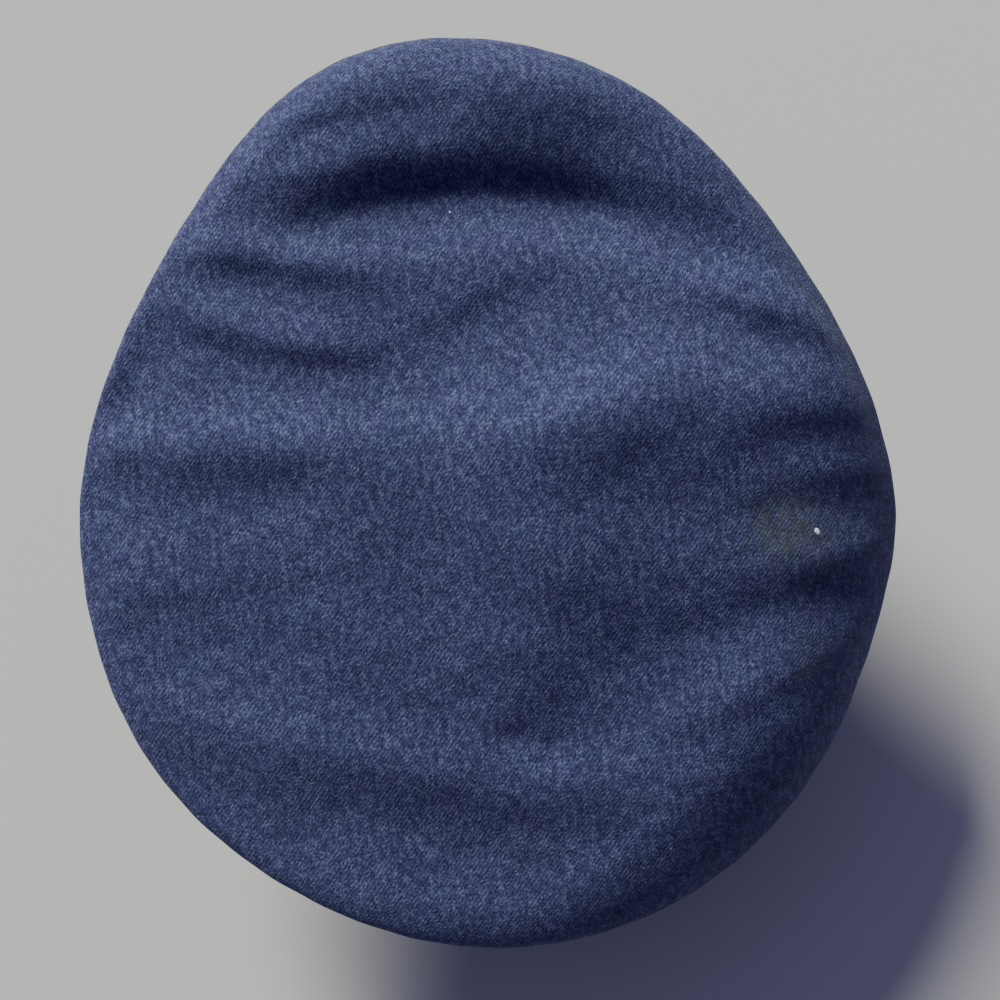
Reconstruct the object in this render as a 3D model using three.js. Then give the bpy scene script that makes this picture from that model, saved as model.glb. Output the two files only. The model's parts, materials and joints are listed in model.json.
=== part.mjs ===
// A peaked cap in blue serge: a wide, soft crown with a rumpled top panel, four side quarters, a stiff
// band, a peak, and a chin strap held by two buttons.
// Millimetres, +Z up. The front of the cap faces -Y and the wearer's left side is +X. Every piece is
// drawn as the cap is worn, with the band's lower edge at Z 0, and the whole cap is then tipped back
// to the way it stands by itself: on the front edge of its peak and the back of its band.

import * as THREE from "three";
import { mergeVertices } from "three/addons/utils/BufferGeometryUtils.js";

const { degToRad, lerp, smoothstep } = THREE.MathUtils;

// Driving dimensions

// Egg-shaped outlines, each measured from its widest section. The pinch narrows the front half.
const bandOval = { halfWidth: 86, front: 106, back: 100, pinch: 0.03 };
const rimOval = { halfWidth: 128.5, front: 149.5, back: 132.5, pinch: 0.082 };

const seamGap = 0.3;
const bandHeight = 45;
const bandThickness = 2.6;
const clothThickness = 1.6;

// The plane of the crown rises to the front. Its front and back rim stand above it, its sides below.
const crownCentre = new THREE.Vector3(0, 16, 89);
const crownSlope = degToRad(7.3);
const saddleHeight = 6;

// The cloth rolls over the rim. On some stretches of it the roll differs, most at the angle given and
// less away from it: deep at the front, slight along the left, where the rim is lifted, and softest at
// the right of the back. A bulge goes past the oval. Angles and spreads are in degrees.
const rollWidth = 13;
const rollDepth = 5;
const stretchColumns = ["name", "angle", "spread", "width", "depth", "bulge", "lift"];
const stretchRows = [
  ["front", 0, 34, 6, 7, 1.9, 0],
  ["left side", 84, 52, -9, -3.8, -1, 4.3],
  ["right side", -94, 24, 8, 6, 0.4, 0],
  ["right of the back", -128, 44, 24, 9, 2.2, 0],
];

// Ridges and valleys of the top panel, on the plane of the crown: x to the wearer's left, y to the
// back. Each runs from the right to the left, and a bow above 0 curves to the back. The widths are
// those of its slopes to the front and to the back, and a height below 0 is a valley.
const foldColumns = ["name", "from", "to", "bow", "frontWidth", "backWidth", "height"];
const foldRows = [
  ["middle swell", [-159, 15], [160, -15], 0, 102.5, 99.5, 9.2],
  ["front rise", [-54, -120], [14, -129], -8, 18.5, 20.5, 3.4],
  ["front left shoulder", [-10, -133], [90, -98], -3, 18.5, 40.5, 2.4],
  ["front valley", [-108, -60], [85, -82], -28, 10, 12.5, -4.6],
  ["valley floor", [-71, -80], [64, -90], -18, 6, 4.5, -1.2],
  ["shoulder ridge", [4, -118], [72, -108], 0, 5, 5, 0.9],
  ["basin lip", [-128, -48], [73, -79], -14, 8, 19, 1.1],
  ["front basin", [-112, -82], [59, -90], -11, 93.5, 34, -3.2],
  ["upper left streak", [14, -75], [105, -99], 0, 7, 5.5, 2.8],
  ["lower left streak", [13, -54], [110, -87], 8, 8, 5.5, 2.7],
  ["left crease", [89, -35], [115, -65], 0, 4.5, 3, 1],
  ["cross ridge, left", [15, -27], [173, -44], 4, 10.5, 12, 4],
  ["cross ridge, middle", [-50, -23], [81, -24], 0, 13, 34, 2.8],
  ["basin ridge", [-94, -56], [-3, -17], 0, 11, 15.5, 2],
  ["left rise", [54, 19], [195, -11], 0, 23.5, 25, 3.8],
  ["cross ridge, right", [-151, -36], [47, -21], -1, 17, 22.5, 5],
  ["right shoulder", [-150, -24], [-66, -28], 0, 12.5, 7.5, 2.2],
  ["right middle ridge", [-155, -6], [-80, -7], 0, 7.5, 6, 1.3],
  ["upper right streak", [-145, -36], [-58, -73], 0, 9.5, 6, 3.2],
  ["basin smear", [-42, -77], [23, -48], 0, 8, 12.5, -1.3],
  ["centre ridge", [-25, -26], [1, 78], 0, 34, 20.5, 3.8],
  ["centre step", [-146, 16], [19, 11], 0, 50, 28, 4.4],
  ["right hollow", [-153, 7], [-63, 6], 0, 6, 25, -1.1],
  ["right pucker", [-172, 11], [-71, 26], 2, 9.5, 7, 1.6],
  ["right valley", [-218, 16], [-60, 38], 2, 7.5, 28, -2.6],
  ["pucker tail", [-123, 35], [-18, 53], 0, 12.5, 22, -1.6],
  ["lower right ridge", [-145, 32], [-32, 72], 2, 15.5, 7.5, 2.4],
  ["right back ridge", [-136, 25], [1, 120], 7, 37.5, 18.5, 4],
  ["centre dimple", [-25, 75], [8, 65], 0, 5.5, 9.5, -1.4],
  ["back ridge", [-65, 90], [148, 24], 16, 13.5, 18.5, 3],
  ["back valley", [-87, 114], [157, 53], 5, 13.5, 46.5, -2.6],
];
const foldTaper = 0.4;
const foldFade = 10;

// How a quarter leaves the band and reaches the rim, as shares of the way between them.
const footPull = new THREE.Vector3(0.25, 0.25, 0.45);
const rimPull = new THREE.Vector3(0, 0, 0.33);

// The peak reaches forward and down, and its front edge lies on the plane that the cap stands on.
const peakThickness = 2.2;
const peakSpread = degToRad(66);
const peakReach = 38;
const peakCornerReach = 2;
const peakDrop = 31;
const peakRootHeight = 0.8;
const peakBulge = 2;
const peakFlatSpread = degToRad(42);
const peakFullness = 0.75;

const strapWidth = 13;
const strapThickness = 1.8;
const strapCentreHeight = 11.5;
const strapSpread = degToRad(80);
const strapEndWidth = 5;
const strapEndShare = 0.03;

const buttonAngle = degToRad(76);
const buttonRadius = 7.5;
const buttonHeight = 5;
const buttonEdge = 1.2;

// How finely the pieces are faceted
const crownColumns = 72;
const rollRows = 4;
const panelRows = 14;
const quarterColumns = 18;
const quarterRows = 6;
const bandColumns = 72;
const peakColumns = 36;
const peakRows = 5;
const strapColumns = 48;
const buttonSides = 20;
const domeSteps = 5;

// Derived sizes

const named = (columns, row) => Object.fromEntries(columns.map((column, i) => [column, row[i]]));
const stretches = stretchRows.map((row) => named(stretchColumns, row));
const folds = foldRows.map((row) => named(foldColumns, row));
const restTilt = Math.atan2(peakDrop, bandOval.back + bandOval.front + seamGap + peakReach);

// Shared shapes

// A point of an oval, grown by some millimetres. Angle 0 is the front, a quarter turn the left.
function ovalPoint(oval, angle, grow = 0) {
  const atFront = Math.cos(angle) > 0;
  const length = (atFront ? oval.front : oval.back) + grow;
  const taper = atFront ? 1 - oval.pinch * Math.sin(2 * angle) ** 2 : 1;
  const x = (oval.halfWidth + grow) * Math.sin(angle) * taper;
  return new THREE.Vector2(x, -length * Math.cos(angle));
}

// Makes a closed wall. place(u, v, depth) gives a point of it: u runs around it, v along it, and the
// depth is 0 on the outer skin and the thickness on the inner skin. Strips close the open edges.
function wall(place, columns, rows, thickness, isRing = false) {
  const corners = [];
  const addTriangle = (a, b, c) => {
    if (!a.equals(b) && !b.equals(c) && !c.equals(a)) corners.push(a, b, c);
  };
  const addQuad = (a, b, c, d) => {
    addTriangle(a, b, c);
    addTriangle(a, c, d);
  };
  const share = (column) => (isRing ? column % columns : column) / columns;
  const outer = (column, row) => place(share(column), row / rows, 0);
  const inner = (column, row) => place(share(column), row / rows, thickness);

  for (let column = 0; column < columns; column++) {
    const next = column + 1;
    for (let row = 0; row < rows; row++) {
      const above = row + 1;
      addQuad(outer(column, row), outer(next, row), outer(next, above), outer(column, above));
      addQuad(inner(column, above), inner(next, above), inner(next, row), inner(column, row));
    }
    addQuad(inner(column, 0), inner(next, 0), outer(next, 0), outer(column, 0));
    addQuad(outer(column, rows), outer(next, rows), inner(next, rows), inner(column, rows));
  }
  for (let row = 0; row < rows && !isRing; row++) {
    const above = row + 1;
    addQuad(outer(0, row), outer(0, above), inner(0, above), inner(0, row));
    addQuad(inner(columns, row), inner(columns, above), outer(columns, above), outer(columns, row));
  }
  return mergeVertices(new THREE.BufferGeometry().setFromPoints(corners));
}

// Crown

// Moves a point from the plane of the crown into the frame of the cap.
function onCrown(x, back, height) {
  return new THREE.Vector3(x, back, height).applyEuler(new THREE.Euler(-crownSlope, 0, 0)).add(crownCentre);
}

// What the stretches of the rim together add to a width, depth, bulge or lift at an angle.
function stretchChange(angle, column) {
  let change = 0;
  for (const stretch of stretches) {
    const offset = angle - degToRad(stretch.angle);
    const turn = Math.atan2(Math.sin(offset), Math.cos(offset));
    change += stretch[column] * Math.exp(-((turn / degToRad(stretch.spread)) ** 2));
  }
  return change;
}

function rimPlanPoint(angle, depth) {
  return ovalPoint(rimOval, angle, stretchChange(angle, "bulge") - depth);
}

function rollDepthAt(angle) {
  return rollDepth + stretchChange(angle, "depth");
}

function foldHeight(x, back) {
  let height = 0;
  for (const fold of folds) {
    const run = new THREE.Vector2(fold.to[0] - fold.from[0], fold.to[1] - fold.from[1]);
    const offset = new THREE.Vector2(x - fold.from[0], back - fold.from[1]);
    const share = offset.dot(run) / run.lengthSq();
    const across = run.cross(offset) / run.length() - fold.bow * 4 * share * (1 - share);
    const taper = smoothstep(share, 0, foldTaper) * smoothstep(1 - share, 0, foldTaper);
    const width = across < 0 ? fold.frontWidth : fold.backWidth;
    height += fold.height * taper * Math.exp(-((across / width) ** 2));
  }
  return height;
}

// The top panel: the first rows roll over the rim, the others cross the panel to its centre.
function crownTopPoint(u, v, depth) {
  const angle = u * 2 * Math.PI;
  const rim = rimPlanPoint(angle, depth);
  const width = rollWidth + stretchChange(angle, "width") - depth;
  const row = v * (rollRows + panelRows);
  const rollTurn = (Math.min(row / rollRows, 1) * Math.PI) / 2;
  const panelShare = Math.max(row - rollRows, 0) / panelRows;
  const inward = lerp(width * (1 - Math.cos(rollTurn)), rim.length(), panelShare);
  const reach = 1 - inward / rim.length();
  const x = rim.x * reach;
  const back = rim.y * reach;
  const saddle = saddleHeight * Math.cos(2 * angle) * reach ** 2;
  const drop = (rollDepthAt(angle) - depth) * (1 - Math.sin(rollTurn));
  const lift = stretchChange(angle, "lift");
  const rumple = lerp(lift, foldHeight(x, back), smoothstep(inward, 0, foldFade));
  return onCrown(x, back, saddle - depth - drop + rumple);
}

// A side quarter climbs from the top of the band and turns upright where it meets the rim.
function quarterPoint(angle, climb, depth) {
  const footPlan = ovalPoint(bandOval, angle, -bandThickness / 4 - depth);
  const foot = new THREE.Vector3(footPlan.x, footPlan.y, bandHeight + seamGap);
  const rimPlan = rimPlanPoint(angle, depth);
  const rimHeight = saddleHeight * Math.cos(2 * angle) + stretchChange(angle, "lift");
  const rim = onCrown(rimPlan.x, rimPlan.y, rimHeight - rollDepthAt(angle) - seamGap);
  const run = rim.clone().sub(foot);
  const lift = new THREE.Vector3(0, 0, depth);
  const footHandle = run.clone().multiply(footPull).add(foot).add(lift);
  const rimHandle = rim.clone().sub(run.clone().multiply(rimPull)).add(lift);
  return new THREE.CubicBezierCurve3(foot, footHandle, rimHandle, rim).getPoint(climb);
}

function quarterWall(startAngle) {
  const inset = seamGap / 2 / bandOval.halfWidth;
  const from = startAngle + inset;
  const to = startAngle + Math.PI / 2 - inset;
  const place = (u, v, depth) => quarterPoint(lerp(from, to, u), v, depth);
  return wall(place, quarterColumns, quarterRows, clothThickness);
}

// Band, peak and strap

function bandPoint(u, v, depth) {
  const plan = ovalPoint(bandOval, u * 2 * Math.PI, -depth);
  return new THREE.Vector3(plan.x, plan.y, v * bandHeight);
}

// The outer skin of the peak is its underside, from the band to the front edge.
function peakPoint(u, v, depth) {
  const angle = lerp(-peakSpread, peakSpread, u);
  const fullness = Math.cos((angle / peakSpread) * (Math.PI / 2)) ** peakFullness;
  const reach = lerp(peakCornerReach, peakReach, fullness);
  const plan = ovalPoint(bandOval, angle, seamGap + v * reach);
  const edge = ovalPoint(bandOval, angle, seamGap + reach);
  const floorHeight = -(bandOval.back - edge.y) * Math.tan(restTilt);
  const cornerRise = smoothstep(Math.abs(angle), peakFlatSpread, peakSpread);
  const edgeHeight = lerp(floorHeight, peakRootHeight, cornerRise);
  const bulge = peakBulge * fullness * 4 * v * (1 - v);
  const slopeFactor = Math.hypot(peakReach, peakDrop) / peakReach;
  const height = lerp(peakRootHeight, edgeHeight, v) + bulge + depth * slopeFactor;
  return new THREE.Vector3(plan.x, plan.y, height);
}

// The strap narrows to a rounded end under each button.
function strapPoint(u, v, depth) {
  const plan = ovalPoint(bandOval, lerp(-strapSpread, strapSpread, u), seamGap + strapThickness - depth);
  const fromEnd = Math.min(Math.min(u, 1 - u) / strapEndShare, 1);
  const width = lerp(strapEndWidth, strapWidth, Math.sqrt(1 - (1 - fromEnd) ** 2));
  return new THREE.Vector3(plan.x, plan.y, strapCentreHeight + (v - 0.5) * width);
}

// A plain domed button
function buttonGeometry() {
  const profile = [new THREE.Vector2(0, 0), new THREE.Vector2(buttonRadius, 0)];
  for (let step = 0; step <= domeSteps; step++) {
    const turn = ((step / domeSteps) * Math.PI) / 2;
    const radius = step === domeSteps ? 0 : buttonRadius * Math.cos(turn);
    profile.push(new THREE.Vector2(radius, buttonEdge + (buttonHeight - buttonEdge) * Math.sin(turn)));
  }
  return new THREE.LatheGeometry(profile, buttonSides);
}

// A button lies flat on the strap, its dome facing away from the band.
function placeButton(button, angle) {
  const step = degToRad(1);
  const ahead = ovalPoint(bandOval, angle + step);
  const behind = ovalPoint(bandOval, angle - step);
  const along = ahead.sub(behind).normalize();
  const outward = new THREE.Vector3(along.y, -along.x, 0);
  const seat = ovalPoint(bandOval, angle, seamGap + strapThickness);
  button.position.set(seat.x, seat.y, strapCentreHeight).addScaledVector(outward, seamGap);
  button.quaternion.setFromUnitVectors(new THREE.Vector3(0, 1, 0), outward);
}

// Materials

const serge = () => new THREE.MeshStandardMaterial({ color: 0x384061, roughness: 0.95, metalness: 0 });
const braid = new THREE.MeshStandardMaterial({ color: 0x1b2036, roughness: 0.85, metalness: 0 });
const patentLeather = new THREE.MeshStandardMaterial({ color: 0x0c0c0f, roughness: 0.18, metalness: 0 });
const strapLeather = new THREE.MeshStandardMaterial({ color: 0x111114, roughness: 0.45, metalness: 0 });
const buttonMetal = () => new THREE.MeshStandardMaterial({ color: 0xb4b6ba, roughness: 0.3, metalness: 1 });

// Assembly

const cap = new THREE.Group();

function addPiece(name, geometry, material) {
  const piece = new THREE.Mesh(geometry, material);
  piece.name = name;
  cap.add(piece);
  return piece;
}

const crownRows = rollRows + panelRows;
addPiece("crown_top", wall(crownTopPoint, crownColumns, crownRows, clothThickness, true), serge());

const quarters = ["quarter_front_left", "quarter_back_left", "quarter_back_right", "quarter_front_right"];
quarters.forEach((name, turn) => addPiece(name, quarterWall((turn * Math.PI) / 2), serge()));

addPiece("band", wall(bandPoint, bandColumns, 1, bandThickness, true), braid);
addPiece("peak", wall(peakPoint, peakColumns, peakRows, peakThickness), patentLeather);
addPiece("chin_strap", wall(strapPoint, strapColumns, 1, strapThickness), strapLeather);

placeButton(addPiece("strap_button_left", buttonGeometry(), buttonMetal()), buttonAngle);
placeButton(addPiece("strap_button_right", buttonGeometry(), buttonMetal()), -buttonAngle);

// Tip the cap back on to the plane that it stands on, and centre its box over the origin.
cap.rotation.x = -restTilt;
cap.position.z = bandOval.back * Math.sin(restTilt);
const boxCentre = new THREE.Box3().setFromObject(cap, true).getCenter(new THREE.Vector3());
cap.position.x = -boxCentre.x;
cap.position.y = -boxCentre.y;

const part = new THREE.Group();
part.add(cap);

export default part;
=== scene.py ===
import json
from math import atan2, cos, hypot, pi, radians, sin, tan

import bmesh
import bpy
import numpy as np
from mathutils import Matrix, Vector


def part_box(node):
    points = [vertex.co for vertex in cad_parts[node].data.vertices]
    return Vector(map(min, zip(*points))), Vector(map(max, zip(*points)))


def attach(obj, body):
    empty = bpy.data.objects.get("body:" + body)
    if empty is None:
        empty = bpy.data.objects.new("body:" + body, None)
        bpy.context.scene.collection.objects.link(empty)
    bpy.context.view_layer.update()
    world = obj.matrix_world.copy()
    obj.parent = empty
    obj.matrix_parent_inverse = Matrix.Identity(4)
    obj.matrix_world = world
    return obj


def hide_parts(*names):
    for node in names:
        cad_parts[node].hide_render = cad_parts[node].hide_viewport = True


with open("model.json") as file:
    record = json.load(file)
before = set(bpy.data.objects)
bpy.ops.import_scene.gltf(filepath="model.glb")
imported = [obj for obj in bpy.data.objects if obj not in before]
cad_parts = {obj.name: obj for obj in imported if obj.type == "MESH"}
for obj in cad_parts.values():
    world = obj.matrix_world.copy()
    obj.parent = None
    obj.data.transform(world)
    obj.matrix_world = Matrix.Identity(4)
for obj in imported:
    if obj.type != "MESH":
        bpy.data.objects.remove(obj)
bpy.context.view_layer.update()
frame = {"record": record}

# Band
# The stiff head band: an upright, egg-shaped wall with a dark blue herringbone braid sewn round it
# between two plain woven edges. The whole cap is drawn from it, as it is worn, with the band's lower
# edge level, the front at -Y and the wearer's left at +X.
BAND_OVAL = {"half_width": 0.086, "front": 0.106, "back": 0.100, "pinch": 0.03}
BAND_HEIGHT = 0.045
BAND_THICKNESS = 0.0026
BAND_LENGTH = 0.596
BAND_GRID = (240, 40)
BAND_INNER_ROWS = 2
BAND_EDGE = 0.0022
BAND_EDGE_FLAT = 0.6 * BAND_EDGE
BAND_ROUND_DEPTH = 0.0006
BAND_ROUND_WIDTH = 0.0009
BRAID_RECESS = 0.0006
BRAID_COLUMNS = 240
BRAID_ROWS = 17
BRAID_TILT = radians(44)
BRAID_FLOAT = {"Length": 0.0042, "Width": 0.0021, "Height": 0.0012}
BRAID_DARK = (0.007, 0.009, 0.025)
BRAID_LIGHT = (0.024, 0.030, 0.070)
BRAID_SHEEN = (0.5, 0.6, 0.9, 1)
MERGE_DISTANCE = 1e-6
CRISP_ANGLE = radians(50)

# The cap stands by itself on its peak and the back of its band, so all of it is tipped back.
mount_axis = frame["record"]["mounts"][0]["axis"]
REST_TILT = atan2(-mount_axis[1], -mount_axis[2])
band_low, band_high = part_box("band")
REST_SIDE = (band_low[0] + band_high[0]) / 2
REST_SHIFT = band_low[1] + BAND_OVAL["front"] * cos(REST_TILT)
REST_LIFT = BAND_OVAL["back"] * sin(REST_TILT)


def stand(points):
    """Takes points of the worn cap to where they are when it stands by itself."""
    x, y, z = np.moveaxis(np.asarray(points, float), -1, 0)
    standing_y = y * cos(REST_TILT) + z * sin(REST_TILT) + REST_SHIFT
    standing_z = z * cos(REST_TILT) - y * sin(REST_TILT) + REST_LIFT
    return points_at(x + REST_SIDE, standing_y, standing_z)


def oval_point(oval, angle, grow=0.0):
    """A point of an egg-shaped outline: angle 0 is the front, a quarter turn the wearer's left."""
    at_front = np.cos(angle) > 0
    length = np.where(at_front, oval["front"], oval["back"]) + grow
    taper = np.where(at_front, 1 - oval["pinch"] * np.sin(2 * angle) ** 2, 1.0)
    return (oval["half_width"] + grow) * np.sin(angle) * taper, -length * np.cos(angle)


def ease(value, low, high):
    """Goes smoothly from 0 at low to 1 at high."""
    share = np.clip((value - low) / (high - low), 0, 1)
    return share * share * (3 - 2 * share)


def points_at(*coordinates):
    """Joins coordinates into points."""
    return np.stack(np.broadcast_arrays(*coordinates), -1)


def strip_cut(length, width):
    """Where the points of a plain strip lie in its flat material."""
    return lambda u, v: points_at(length * u, width * v)


def merge_points(mesh, face_out=False):
    """Joins the points of a mesh that lie in one place, and can turn its faces outwards."""
    merged = bmesh.new()
    merged.from_mesh(mesh)
    bmesh.ops.remove_doubles(merged, verts=merged.verts, dist=MERGE_DISTANCE)
    if face_out:
        bmesh.ops.recalc_face_normals(merged, faces=merged.faces)
    merged.to_mesh(mesh)
    merged.free()


def build_wall(name, place, cut, grid, thickness, materials, ring=False, inner_rows=None):
    """A closed wall: an outer skin, an inner skin and strips along the open edges.

    place(u, v, depth) gives a point of the worn cap and cut(u, v) its place in the flat material,
    in metres. The inner skin and the edges take the last material.
    """
    columns, rows = grid
    inner_rows = inner_rows or rows
    per_row = columns if ring else columns + 1
    u = np.arange(columns + 1) / columns
    points, faces, flats, finishes = [], [], [], []

    def add_faces(corners, flat, finish):
        faces.append(corners.reshape(-1, 4))
        flats.append(flat.reshape(-1, 4, 2))
        finishes.append(np.full(len(faces[-1]), finish))

    def add_skin(row_count, depth, turned, finish):
        start = sum(len(block) for block in points)
        v = np.arange(row_count + 1)[:, None] / row_count
        points.append(stand(place(u[None, :per_row], v, depth)).reshape(-1, 3))
        flat = cut(u[None, :], v)
        row, column = np.mgrid[0:row_count, 0:columns]
        corners = [(row, column), (row, column + 1), (row + 1, column + 1), (row + 1, column)]
        if turned:
            corners.reverse()
        indices = [start + r * per_row + c % per_row for r, c in corners]
        add_faces(np.stack(indices, -1), np.stack([flat[r, c] for r, c in corners], -2), finish)
        return start

    def add_strip(first, second, u_along, v_along):
        flat = cut(u_along, v_along)
        indices = [first[:-1], first[1:], second[1:], second[:-1]]
        corners = [flat[:-1], flat[1:], flat[1:], flat[:-1]]
        add_faces(np.stack(indices, -1), np.stack(corners, -2), last)

    last = len(materials) - 1
    outer = add_skin(rows, 0.0, False, 0)
    inner = add_skin(inner_rows, thickness, True, last)
    around = np.arange(columns + 1) % per_row
    add_strip(inner + around, outer + around, u, 0 * u)
    add_strip(outer + rows * per_row + around, inner + inner_rows * per_row + around, u, 0 * u + 1)
    if not ring:
        along = np.arange(rows + 1)
        near, far = along * per_row, along * per_row + columns
        add_strip(outer + near, inner + near, 0.0 * along, along / rows)
        add_strip(inner + far, outer + far, 0.0 * along + 1, along / rows)

    mesh = bpy.data.meshes.new(name)
    mesh.from_pydata(np.concatenate(points).tolist(), [], np.concatenate(faces).tolist())
    flat_map = mesh.uv_layers.new(name="flat")
    flat_map.data.foreach_set("uv", np.concatenate(flats).astype(np.float32).ravel())
    for material in materials:
        mesh.materials.append(material)
    mesh.polygons.foreach_set("material_index", np.concatenate(finishes).astype(np.int32))
    merge_points(mesh)
    return add_piece(name, mesh)


def add_object(name, data):
    """Puts an object into the scene."""
    added = bpy.data.objects.new(name, data)
    bpy.context.collection.objects.link(added)
    return added


def add_piece(name, mesh):
    """Puts a mesh into the scene with smooth faces and crisp edges."""
    mesh.shade_smooth()
    mesh.set_sharp_from_angle(angle=CRISP_ANGLE)
    return add_object(name, mesh)


def apply_modifiers(piece):
    """Turns a piece with modifiers into a plain mesh."""
    evaluated = piece.evaluated_get(bpy.context.evaluated_depsgraph_get())
    mesh = bpy.data.meshes.new_from_object(evaluated)
    piece.modifiers.clear()
    piece.data = mesh


def new_material(name, **constants):
    """A material with a principled shader, and the constants on its sockets."""
    material = bpy.data.materials.new(name)
    material.use_nodes = True
    shader = material.node_tree.nodes["Principled BSDF"]
    for socket, value in constants.items():
        shader.inputs[socket.replace("_", " ")].default_value = value
    return material, material.node_tree, shader


def add_node(tree, kind, inputs=None, **settings):
    """Adds a node. An input is another node's socket, or a constant."""
    node = tree.nodes.new(kind)
    for name, value in settings.items():
        setattr(node, name, value)
    for name, value in (inputs or {}).items():
        if isinstance(value, bpy.types.NodeSocket):
            tree.links.new(value, node.inputs[name])
        else:
            node.inputs[name].default_value = value
    return node


def object_place(tree):
    """Where a point lies in the shared frame, in metres."""
    return add_node(tree, "ShaderNodeTexCoord").outputs["Object"]


def noise(tree, vector, scale, detail=2, roughness=0.5):
    """Smooth noise around 0.5, with so many grains to a metre."""
    inputs = {"Vector": vector, "Scale": scale, "Detail": detail, "Roughness": roughness}
    return add_node(tree, "ShaderNodeTexNoise", inputs).outputs["Fac"]


def calculate(tree, operation, first, second):
    """One step of arithmetic on two values, each a constant or a socket."""
    return add_node(tree, "ShaderNodeMath", {0: first, 1: second}, operation=operation).outputs[0]


def stretch(tree, value, low, high, to_low=0.0, to_high=1.0):
    """Maps a range of a value to another range, and cuts off what lies outside."""
    inputs = {"Value": value, 1: low, 2: high, 3: to_low, 4: to_high}
    return add_node(tree, "ShaderNodeMapRange", inputs).outputs["Result"]


def blend_colours(tree, share, first, second):
    """Mixes two colours, each a constant or a socket."""
    inputs = {0: share}
    for index, colour in ((6, first), (7, second)):
        inputs[index] = colour if isinstance(colour, bpy.types.NodeSocket) else (*colour, 1)
    return add_node(tree, "ShaderNodeMix", inputs, data_type="RGBA").outputs[2]


def raise_surface(tree, shader, height, distance, strength):
    """Raises the surface by a height, of which 1 stands for a distance in metres."""
    inputs = {"Height": height, "Distance": distance, "Strength": strength}
    tree.links.new(add_node(tree, "ShaderNodeBump", inputs).outputs[0], shader.inputs["Normal"])


def stitch_tree():
    """Geometry Nodes that lay one small thread form at each place, turned by its own turn."""
    tree = bpy.data.node_groups.new("laid_stitches", "GeometryNodeTree")
    tree.interface.new_socket("Places", in_out="INPUT", socket_type="NodeSocketGeometry")
    for size in ("Length", "Width", "Height"):
        tree.interface.new_socket(size, in_out="INPUT", socket_type="NodeSocketFloat")
    tree.interface.new_socket("Thread", in_out="INPUT", socket_type="NodeSocketMaterial")
    tree.interface.new_socket("Stitches", in_out="OUTPUT", socket_type="NodeSocketGeometry")
    given = tree.nodes.new("NodeGroupInput").outputs
    form = add_node(tree, "GeometryNodeMeshUVSphere", {"Segments": 6, "Rings": 4, "Radius": 0.5})
    sizes = {"X": given["Length"], "Y": given["Width"], "Z": given["Height"]}
    scale = add_node(tree, "ShaderNodeCombineXYZ", sizes).outputs[0]
    inputs = {"Geometry": form.outputs["Mesh"], "Scale": scale}
    thread = add_node(tree, "GeometryNodeTransform", inputs).outputs[0]
    turn = add_node(tree, "GeometryNodeInputNamedAttribute", {"Name": "turn"}, data_type="FLOAT_VECTOR")
    rotation = add_node(tree, "FunctionNodeEulerToRotation", {0: turn.outputs["Attribute"]}).outputs[0]
    inputs = {"Points": given["Places"], "Instance": thread, "Rotation": rotation}
    laid = add_node(tree, "GeometryNodeInstanceOnPoints", inputs).outputs[0]
    real = add_node(tree, "GeometryNodeRealizeInstances", {"Geometry": laid}).outputs[0]
    finished = add_node(tree, "GeometryNodeSetMaterial", {"Geometry": real, "Material": given["Thread"]})
    tree.links.new(finished.outputs[0], tree.nodes.new("NodeGroupOutput").inputs["Stitches"])
    return tree


STITCHES = stitch_tree()


def lay_stitches(name, places, alongs, outwards, sizes, thread):
    """Lays a stitch at each place, along one direction and with its back facing outwards."""
    turns = []
    for along, outward in zip(alongs, outwards):
        side = np.cross(outward, along)
        axes = [along / np.linalg.norm(along), side / np.linalg.norm(side)]
        turns.append(Matrix([*axes, np.cross(*axes)]).transposed().to_euler())
    mesh = bpy.data.meshes.new(name)
    mesh.from_pydata(np.asarray(places).tolist(), [], [])
    turn = mesh.attributes.new("turn", "FLOAT_VECTOR", "POINT")
    turn.data.foreach_set("vector", np.array(turns, np.float32).ravel())
    piece = add_piece(name, mesh)
    layer = piece.modifiers.new("stitches", "NODES")
    layer.node_group = STITCHES
    inputs = {**sizes, "Thread": thread}
    for socket in STITCHES.interface.items_tree:
        if socket.name in inputs:
            layer[socket.identifier] = inputs[socket.name]
    apply_modifiers(piece)
    piece.data.shade_smooth()
    return piece


def surface_frame(place, u, v, depth):
    """Points of the standing cap, with their directions along u and v and straight out."""
    step = 1e-4
    points = stand(place(u, v, depth))
    along_u = stand(place(u + step, v, depth)) - stand(place(u - step, v, depth))
    along_v = stand(place(u, v + step, depth)) - stand(place(u, v - step, depth))
    along_u /= np.linalg.norm(along_u, axis=-1, keepdims=True)
    along_v /= np.linalg.norm(along_v, axis=-1, keepdims=True)
    return points, along_u, along_v, np.cross(along_u, along_v)


def band_point(u, v, depth):
    """The band: its woven edges stand proud of the recess that the braid lies in."""
    from_edge = np.minimum(v, 1 - v) * BAND_HEIGHT
    recess = BRAID_RECESS * ease(from_edge, BAND_EDGE_FLAT, BAND_EDGE)
    edge_round = BAND_ROUND_DEPTH * (1 - ease(from_edge, 0, BAND_ROUND_WIDTH))
    x, y = oval_point(BAND_OVAL, u * 2 * pi, -np.maximum(depth, recess + edge_round))
    return points_at(x, y, v * BAND_HEIGHT)


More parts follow.
